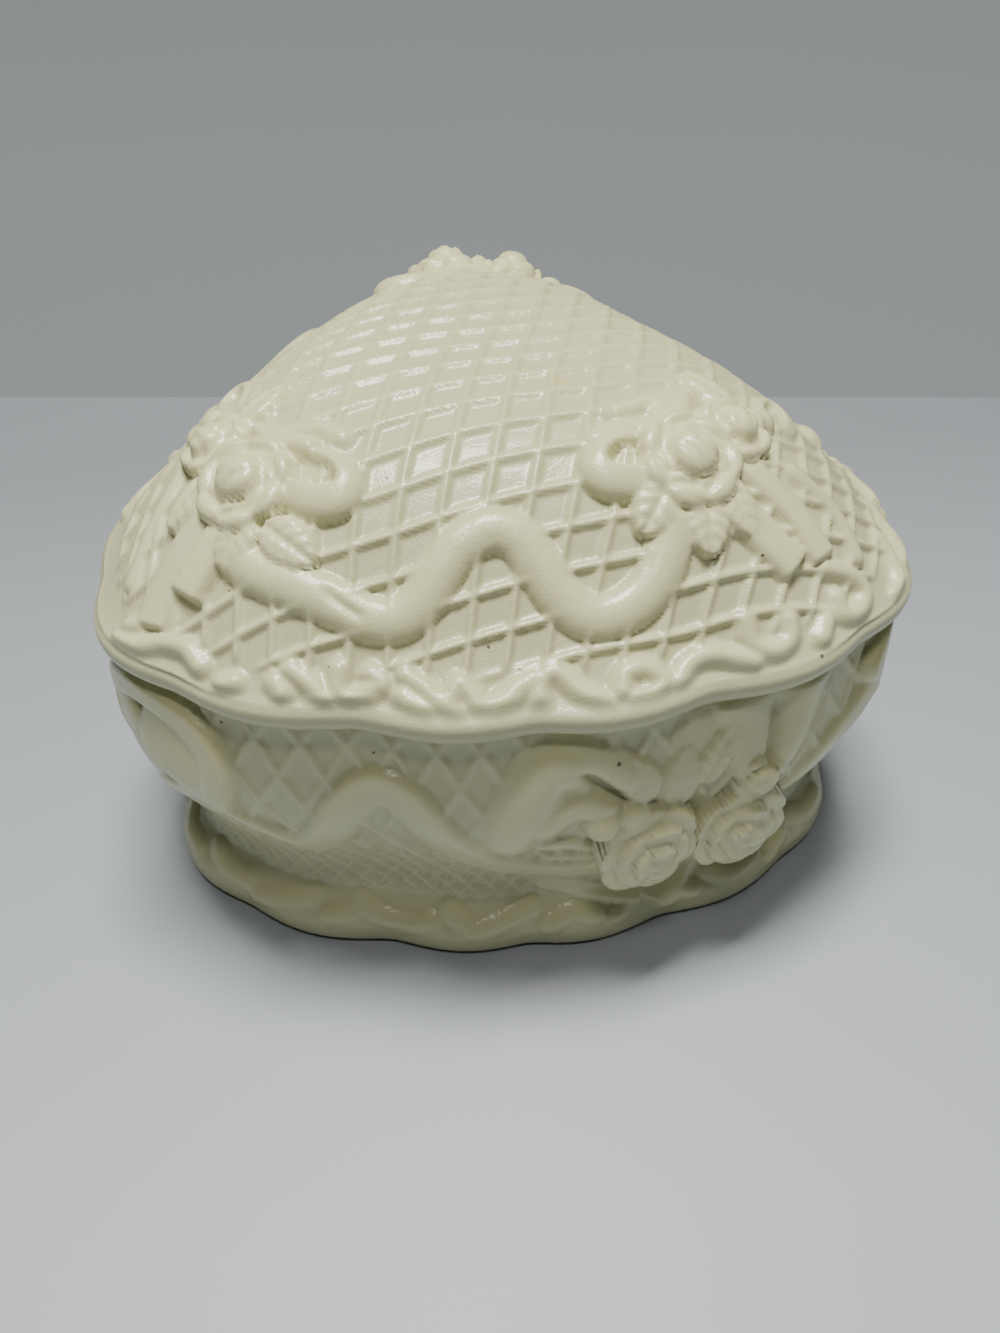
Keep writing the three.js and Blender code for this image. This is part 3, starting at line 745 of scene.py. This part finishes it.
def laySkinOfBowl():
    print("laying the bowl's skin")
    s, m = bowlShape, bowlMesh
    skin = Skin()
    floorTop = s["recess"] + s["floor"]
    cove = s["cove"]
    coveIn = s["waist"] - s["wall"] - cove

    def plainRing(radius, height, scallop=0.0, count=plainCount):
        skin.add(levelRing(count, radius, height, scallop))

    # the floor, the cove, up the inside and over the mouth
    skin.add(np.array([[0.0, 0.0, floorTop]]))
    for radius in (20, 36):
        plainRing(radius, floorTop)
    for k in range(m["coveSteps"] + 1):
        a = math.pi / 2 * k / m["coveSteps"]
        plainRing(coveIn + cove * math.sin(a), floorTop + cove - cove * math.cos(a))
    for height in np.linspace(floorTop + cove + 2, s["seat"] - 0.6, m["wallRings"]):
        plainRing(float(bowlRadius(height)) - s["wall"], height)
    plainRing(s["mouth"] - s["wall"] + 0.15, s["seat"] - 0.2)
    plainRing(s["mouth"] - s["wall"] + 0.6, s["seat"])
    plainRing(s["mouth"] - 0.7, s["seat"], s["bellyScallop"])
    # down the carved wall
    count = ringCount(lidShape["rim"], m["gap"])
    angles = ringAngles(count)
    for height in placesAlong(bowlPoint, s["footTop"], s["seat"] - 0.5, bowlGap)[::-1]:
        point, out = surfaceFrame(bowlPoint, angles, np.full(count, height))[:2]
        skin.add(point, out, angles, np.full(count, height))
    # round the foot's edge and under it
    edgeCount = ringCount(lidShape["rim"], m["gap"] * m["edgeGap"])
    rounding = ((0.0, s["footTop"] - 0.5), (0.0, 2.2), (0.05, 1.5), (0.35, 0.8), (0.9, 0.25), (1.7, 0.0))
    for inset, height in rounding:
        plainRing(s["foot"] - inset, height, s["footScallop"], edgeCount)
    ringIn = s["foot"] - s["ringWidth"]
    plainRing(ringIn + 0.6, 0.0)
    plainRing(ringIn, 0.25)
    plainRing(ringIn - s["recess"], s["recess"])
    plainRing(30, s["recess"])
    skin.add(np.array([[0.0, 0.0, s["recess"]]]))
    skin.close()
    return skin


# small trellis round the waist, and large above it
def carveBowlTrellis(skin):
    print("carving the bowl's trellis")
    angle, height = skin.angles[skin.carved], skin.places[skin.carved]
    around = 2 * math.pi * lidShape["rim"]

    # a whole number of ribs goes round the wall, so that the trellis meets itself
    def slanted(heading, family):
        a = math.radians(heading)
        gap = family["gap"]
        turns = round(around * abs(math.sin(a)) / gap)
        phase = turns * angle / (2 * math.pi) - math.copysign(1, heading) * height * math.cos(a) / gap
        d = np.abs((phase + 0.5) % 1 - 0.5) * gap
        return family["relief"] * np.exp(-(d / (family["width"] / 2)) ** 2.4)

    def crossed(family):
        first, second = family["headings"]
        return softMax(slanted(first, family), slanted(second, family), family["crossing"])

    share = smooth(height, *bowlCarving["change"])
    start = smooth(height, *bowlCarving["trellisStart"])
    return crossed(bowlCarving["upper"]) * share + crossed(bowlCarving["waist"]) * (1 - share) * start


def buildBowl():
    skin = laySkinOfBowl()
    relief = Relief(skin, bowlPoint, carveBowlTrellis(skin), bowlCarving["reach"])
    print("carving the bowl's ribbons and roses")
    for turn in (0, 120, 240):
        relief.turn = turn
        carveBowlThird(relief)
    return finishPiece("bowl_glazed", "box_base", skin, relief)


# specks in the glaze, each by its place on the surface and its size in mm; the bowl's last is a small chip
specks = {
    "lid": [(240.3, 0.571, 0.32), (263.0, 0.872, 0.26), (309.4, 0.985, 0.36), (267.9, 0.912, 0.22),
            (309.1, 0.791, 0.28), (223.9, 0.814, 0.2), (241.2, 0.907, 0.18)],
    "box_base": [(281.6, 44.1, 0.36), (247.3, 46.1, 0.26), (226.3, 47.3, 0.3)],
}
yellowSpot = (297.5, 0.258, 1.1)
speckSpots = []

# the middle of the plan, from the lid's back corner
lidLow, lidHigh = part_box("lid")
cornerReach = float(outline(math.pi / 2, lidShape["rim"], lidShape["scallop"]))
axisX = (lidLow.x + lidHigh.x) / 2
axisY = lidHigh.y - cornerReach / 1000
print(f"plan axis at {axisX * 1000:.2f}, {axisY * 1000:.2f} mm")


# moves the carved points out, makes the mesh and notes where the piece's specks lie
def finishPiece(name, node, skin, relief):
    place = skin.places[relief.index]
    if node == "lid":    # fades out at the rim so that the edge stays smooth
        height = relief.height * (1 - smooth(place, *lidCarving["fadeOut"]))
    else:
        height = relief.height * smooth(place, *bowlCarving["fadeIn"])
        height = height * (1 - smooth(place, *bowlCarving["fadeOut"]))
    points = skin.points.copy()
    points[relief.index] = points[relief.index] + relief.outs * height[:, None]
    points = points / 1000 + np.array([axisX, axisY, 0])
    marks = specks[node] + ([yellowSpot] if node == "lid" else [])
    scale = lidShape["rim"] if node == "lid" else 1.0
    for mark in marks:
        offAngle = (skin.angles[relief.index] - math.radians(mark[0])) * lidShape["rim"]
        offPlace = (place - mark[1]) * scale
        nearest = relief.index[np.argmin(np.hypot(offAngle, offPlace))]
        speckSpots.append((points[nearest], mark[2] / 1000, mark is yellowSpot))
    faces = skin.faces()
    mesh = bpy.data.meshes.new(name)
    mesh.from_pydata(points.tolist(), [], faces)
    mesh.polygons.foreach_set("use_smooth", np.ones(len(mesh.polygons), bool))
    stored = mesh.attributes.new("raised", "FLOAT", "POINT")
    whole = np.zeros(len(points))
    whole[relief.index] = height
    stored.data.foreach_set("value", whole.astype(np.float32))
    mesh.update()
    piece = bpy.data.objects.new(name, mesh)
    bpy.context.scene.collection.objects.link(piece)
    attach(piece, "root")
    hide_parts(node)
    triangles = sum(len(f) - 2 for f in faces)
    print(f"{name}: {len(points)} points, {triangles} triangles, relief to {height.max():.2f} mm")
    return piece


lid = buildLid()
bowl = buildBowl()

# the sockets of a colour mix node
mixShare, mixFirst, mixSecond, mixOut = 0, 6, 7, 2


# a new material, with its nodes, links, shader and the object's own coordinates
def startMaterial(name, roughness):
    material = bpy.data.materials.new(name)
    material.use_nodes = True
    nodes, links = material.node_tree.nodes, material.node_tree.links
    shader = nodes["Principled BSDF"]
    shader.inputs["Roughness"].default_value = roughness
    return material, nodes, links, shader, nodes.new("ShaderNodeTexCoord")


def noiseOver(nodes, links, coordinates, scale, detail=2):
    noise = nodes.new("ShaderNodeTexNoise")
    noise.inputs["Scale"].default_value = scale
    noise.inputs["Detail"].default_value = detail
    links.new(coordinates.outputs["Object"], noise.inputs["Vector"])
    return noise


def bumpOver(nodes, links, coordinates, scale, depth):
    bump = nodes.new("ShaderNodeBump")
    bump.inputs["Strength"].default_value = 0.5
    bump.inputs["Distance"].default_value = depth
    links.new(noiseOver(nodes, links, coordinates, scale).outputs["Fac"], bump.inputs["Height"])
    return bump


glazeLook = {
    "roughness": 0.26, "ior": 1.5,
    "pooled": (0.60, 0.595, 0.37, 1), "raised": (0.74, 0.73, 0.43, 1), "fullRelief": 1.6,
    "cloudScale": 38, "cloudShade": (0.9, 0.9, 0.86, 1), "cloudShare": 0.5,
    "waveScale": 260, "waveDepth": 0.0003,
    "grainScale": 2600, "grainDepth": 0.0001,
    "speck": (0.05, 0.045, 0.03, 1), "speckShare": 0.85,
    "yellow": (0.7, 0.62, 0.1, 1), "yellowShare": 0.35,
}


# ivory glaze, creamier on the raised forms and a little greener where it pools, with dark specks
def glazeMaterial():
    look = glazeLook
    material, nodes, links, shader, coordinates = startMaterial("ivory_glaze", look["roughness"])
    shader.inputs["IOR"].default_value = look["ior"]
    raised = nodes.new("ShaderNodeAttribute")
    raised.attribute_name = "raised"
    pooled = nodes.new("ShaderNodeMapRange")
    pooled.inputs["From Min"].default_value = 0.0
    pooled.inputs["From Max"].default_value = look["fullRelief"]
    links.new(raised.outputs["Fac"], pooled.inputs["Value"])
    tint = nodes.new("ShaderNodeMix")
    tint.data_type = "RGBA"
    tint.inputs[mixFirst].default_value = look["pooled"]
    tint.inputs[mixSecond].default_value = look["raised"]
    links.new(pooled.outputs["Result"], tint.inputs[mixShare])
    # faint clouds in the colour
    cloud = noiseOver(nodes, links, coordinates, look["cloudScale"], 3)
    shade = nodes.new("ShaderNodeValToRGB")
    shade.color_ramp.elements[0].position = 0.3
    shade.color_ramp.elements[0].color = look["cloudShade"]
    shade.color_ramp.elements[1].position = 0.7
    shade.color_ramp.elements[1].color = (1, 1, 1, 1)
    links.new(cloud.outputs["Fac"], shade.inputs["Fac"])
    patch = nodes.new("ShaderNodeMix")
    patch.data_type = "RGBA"
    patch.blend_type = "MULTIPLY"
    patch.inputs[mixShare].default_value = look["cloudShare"]
    links.new(tint.outputs[mixOut], patch.inputs[mixFirst])
    links.new(shade.outputs["Color"], patch.inputs[mixSecond])
    colour = patch.outputs[mixOut]
    for spot, size, yellow in speckSpots:
        away = nodes.new("ShaderNodeVectorMath")
        away.operation = "DISTANCE"
        away.inputs[1].default_value = spot
        links.new(coordinates.outputs["Object"], away.inputs[0])
        mark = nodes.new("ShaderNodeMapRange")
        mark.inputs["From Min"].default_value = size * 0.5
        mark.inputs["From Max"].default_value = size * 1.2
        mark.inputs["To Min"].default_value = look["yellowShare"] if yellow else look["speckShare"]
        mark.inputs["To Max"].default_value = 0
        links.new(away.outputs["Value"], mark.inputs["Value"])
        speck = nodes.new("ShaderNodeMix")
        speck.data_type = "RGBA"
        speck.inputs[mixSecond].default_value = look["yellow"] if yellow else look["speck"]
        links.new(mark.outputs["Result"], speck.inputs[mixShare])
        links.new(colour, speck.inputs[mixFirst])
        colour = speck.outputs[mixOut]
    links.new(colour, shader.inputs["Base Color"])
    # a fine orange-peel grain over slow waves, as on poured glaze
    waves = bumpOver(nodes, links, coordinates, look["waveScale"], look["waveDepth"])
    grain = bumpOver(nodes, links, coordinates, look["grainScale"], look["grainDepth"])
    links.new(waves.outputs["Normal"], grain.inputs["Normal"])
    links.new(grain.outputs["Normal"], shader.inputs["Normal"])
    return material


print("glazing both pieces")
glaze = glazeMaterial()
for piece in (lid, bowl):
    piece.data.materials.append(glaze)


# a colour that varies by a few hundredths over the surface
def mottled(nodes, links, coordinates, colour):
    ramp = nodes.new("ShaderNodeValToRGB")
    ramp.color_ramp.elements[0].color = (*[c * 0.97 for c in colour], 1)
    ramp.color_ramp.elements[1].color = (*colour, 1)
    links.new(noiseOver(nodes, links, coordinates, 6).outputs["Fac"], ramp.inputs["Fac"])
    return ramp


# the pale table, dimmer behind the box, where less light falls
def tableMaterial(name, colour, roughness, far):
    material, nodes, links, shader, coordinates = startMaterial(name, roughness)
    ramp = mottled(nodes, links, coordinates, colour)
    split = nodes.new("ShaderNodeSeparateXYZ")
    links.new(coordinates.outputs["Object"], split.inputs["Vector"])
    depth = nodes.new("ShaderNodeMapRange")
    depth.inputs["From Min"].default_value = -0.1
    depth.inputs["From Max"].default_value = 0.1
    depth.inputs["To Min"].default_value = 1.0
    depth.inputs["To Max"].default_value = far
    links.new(split.outputs["Y"], depth.inputs["Value"])
    dim = nodes.new("ShaderNodeVectorMath")
    dim.operation = "SCALE"
    links.new(ramp.outputs["Color"], dim.inputs[0])
    links.new(depth.outputs["Result"], dim.inputs["Scale"])
    links.new(dim.outputs["Vector"], shader.inputs["Base Color"])
    return material


# paper that glows evenly, as grey all over as the wall in the photo
def paperMaterial(name, colour):
    material, nodes, links, shader, coordinates = startMaterial(name, 0.9)
    shader.inputs["Base Color"].default_value = (0.02, 0.02, 0.02, 1)
    shader.inputs["Emission Strength"].default_value = 1.0
    ramp = mottled(nodes, links, coordinates, colour)
    links.new(ramp.outputs["Color"], shader.inputs["Emission Color"])
    return material


view = {
    "turn": math.radians(6),     # the camera looks a little to the right of +Y
    "tilt": math.radians(42),
    "place": (-0.0142, -0.1427, 0.143),
    "lens": 27.0, "sensor": 36.0, "nearest": 0.005,
    "tableEdge": 0.282,          # from the camera to the far edge of the table
    "table": (2, 2.5),           # half its width, and how far it comes forward
    "backdrop": (4, 3.0),        # half its width, and how far it runs on behind the table
    "drop": 0.0002,              # how far both lie under the foot
}
ahead = Vector((math.sin(view["turn"]), math.cos(view["turn"]), 0))
right = Vector((ahead.y, -ahead.x, 0))
stand = Vector((axisX + view["place"][0], axisY + view["place"][1], 0))
farEdge = stand + ahead * view["tableEdge"]


# a flat sheet between two distances from the table's far edge
def layFlat(name, half, near, far, material):
    spots = ((-half, near), (half, near), (half, far), (-half, far))
    corners = [farEdge + right * x + ahead * y for x, y in spots]
    mesh = bpy.data.meshes.new(name)
    mesh.from_pydata([(p.x, p.y, -view["drop"]) for p in corners], [], [(0, 1, 2, 3)])
    mesh.materials.append(material)
    sheet = bpy.data.objects.new(name, mesh)
    bpy.context.scene.collection.objects.link(sheet)


print("laying the table and the backdrop")
tableHalf, tableForward = view["table"]
layFlat("table", tableHalf, -tableForward, 0, tableMaterial("pale_table", (0.47, 0.51, 0.57), 0.5, 0.58))
paperHalf, paperBack = view["backdrop"]
layFlat("backdrop", paperHalf, 0, paperBack, paperMaterial("grey_backdrop", (0.25, 0.276, 0.28)))

print("setting the camera and the lights")
camera = bpy.data.cameras.new("camera")
camera.lens = view["lens"]
camera.sensor_width = view["sensor"]
camera.sensor_fit = "AUTO"
camera.clip_start = view["nearest"]
shooter = bpy.data.objects.new("camera", camera)
bpy.context.scene.collection.objects.link(shooter)
shooter.location = stand + Vector((0, 0, view["place"][2]))
shooter.rotation_euler = (math.pi / 2 - view["tilt"], 0, -view["turn"])
bpy.context.scene.camera = shooter


# a flat lamp aimed at the middle of the box
def softLight(name, place, size, power):
    lamp = bpy.data.lights.new(name, "AREA")
    lamp.shape = "RECTANGLE"
    lamp.size, lamp.size_y = size
    lamp.energy = power
    lamp.color = (1.0, 0.98, 0.91)
    holder = bpy.data.objects.new(name, lamp)
    bpy.context.scene.collection.objects.link(holder)
    holder.location = place
    aim = Vector((0, 0, 0.05)) - Vector(place)
    holder.rotation_euler = aim.to_track_quat("-Z", "Y").to_euler()


softLight("ceiling_light", (-0.02, 0.05, 0.8), (0.3, 0.16), 9.6)
softLight("front_sheen", (-0.03, -0.3, 0.78), (0.16, 0.08), 1.2)

world = bpy.data.worlds.new("room")
bpy.context.scene.world = world
world.use_nodes = True
world.node_tree.nodes["Background"].inputs["Color"].default_value = (0.88, 0.92, 0.97, 1)
world.node_tree.nodes["Background"].inputs["Strength"].default_value = 0.015
